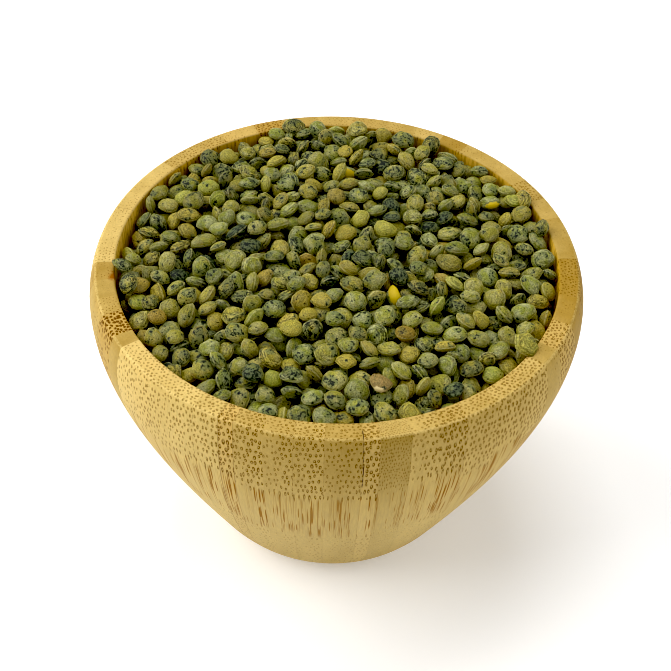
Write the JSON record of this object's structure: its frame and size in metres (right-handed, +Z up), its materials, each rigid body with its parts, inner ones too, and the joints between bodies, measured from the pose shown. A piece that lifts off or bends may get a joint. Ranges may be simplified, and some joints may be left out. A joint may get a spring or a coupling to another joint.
{
  "type": "bowl of dry lentils",
  "caption": "Turned laminated bamboo bowl with a flat rim, heaped to the brim with small dry green lentils.",
  "frame": {"origin": "centre of the flat face that the bowl stands on, on the bowl's axis", "axes": "+Z up along the bowl's axis; -Y towards the front, the side that is seen"},
  "size_m": [0.1078, 0.1078, 0.0789],
  "materials": {
    "bamboo": "oiled, satin",
    "lentil_skin": "dry seed coat, slightly waxy"
  },
  "bodies": {
    "root": {"bowl": "bamboo", "lentils": "lentil_skin"}
  },
  "joints": []
}
